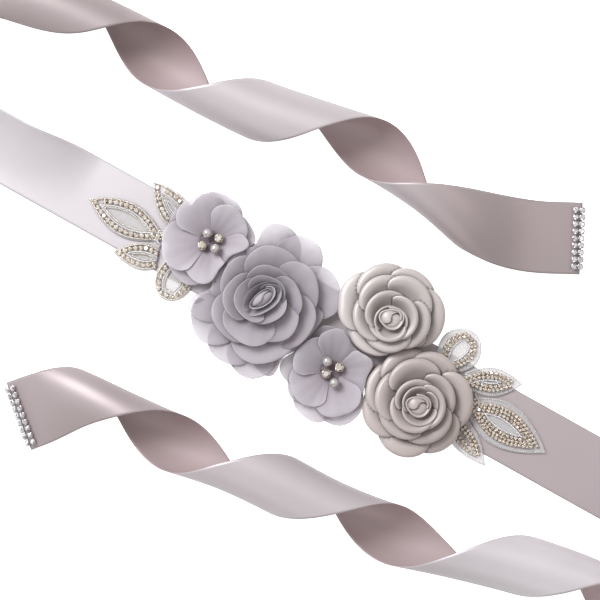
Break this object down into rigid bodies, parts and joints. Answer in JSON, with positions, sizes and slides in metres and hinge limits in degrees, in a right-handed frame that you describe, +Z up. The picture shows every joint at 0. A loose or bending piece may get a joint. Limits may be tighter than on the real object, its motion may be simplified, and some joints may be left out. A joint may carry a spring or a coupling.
{
  "type": "bridal sash",
  "caption": "Satin ribbon sash laid flat, with a cluster of fabric roses, chiffon flowers and beaded leaves at its middle and loose curled tails ending in crystal trim.",
  "frame": {"origin": "on the ground plane under the middle line of the waist ribbon, near the middle of the flower cluster", "axes": "+X along the waist ribbon towards the pair of satin roses, +Y across it in the plane it lies on, +Z up"},
  "size_m": [0.7842, 0.2695, 0.0345],
  "materials": {
    "ribbon_satin": "satin weave, soft sheen",
    "chiffon": "sheer chiffon, matt",
    "petal_satin": "satin, soft sheen",
    "bead_chain": "champagne rhinestones and silver-lined glass beads on net",
    "crystal": "cut crystal in metal cups",
    "pearl": "silver-grey pearl"
  },
  "bodies": {
    "root": {"chiffon_flower_a_lower": "chiffon", "chiffon_flower_a_upper": "chiffon", "chiffon_flower_b_lower": "chiffon", "chiffon_flower_b_upper": "chiffon", "chiffon_rose_heart": "chiffon", "chiffon_rose_inner": "chiffon", "chiffon_rose_outer": "chiffon", "chiffon_rose_second": "chiffon", "chiffon_rose_third": "chiffon", "end_trim_lower": "crystal", "end_trim_upper": "crystal", "leaf_left_1": "bead_chain", "leaf_left_2": "bead_chain", "leaf_left_3": "bead_chain", "leaf_left_4": "bead_chain", "leaf_right_1": "bead_chain", "leaf_right_2": "bead_chain", "leaf_right_3": "bead_chain", "leaf_right_4": "bead_chain", "pearl_1": "pearl", "pearl_2": "pearl", "pearl_3": "pearl", "pearl_4": "pearl", "rhinestone_1": "crystal", "rhinestone_2": "crystal", "rhinestone_3": "crystal", "rhinestone_4": "crystal", "ribbon_tail_lower": "ribbon_satin", "ribbon_tail_upper": "ribbon_satin", "ribbon_waist": "ribbon_satin", "satin_rose_a_heart": "petal_satin", "satin_rose_a_inner": "petal_satin", "satin_rose_a_middle": "petal_satin", "satin_rose_a_outer": "petal_satin", "satin_rose_b_heart": "petal_satin", "satin_rose_b_inner": "petal_satin", "satin_rose_b_middle": "petal_satin", "satin_rose_b_outer": "petal_satin"}
  },
  "joints": []
}
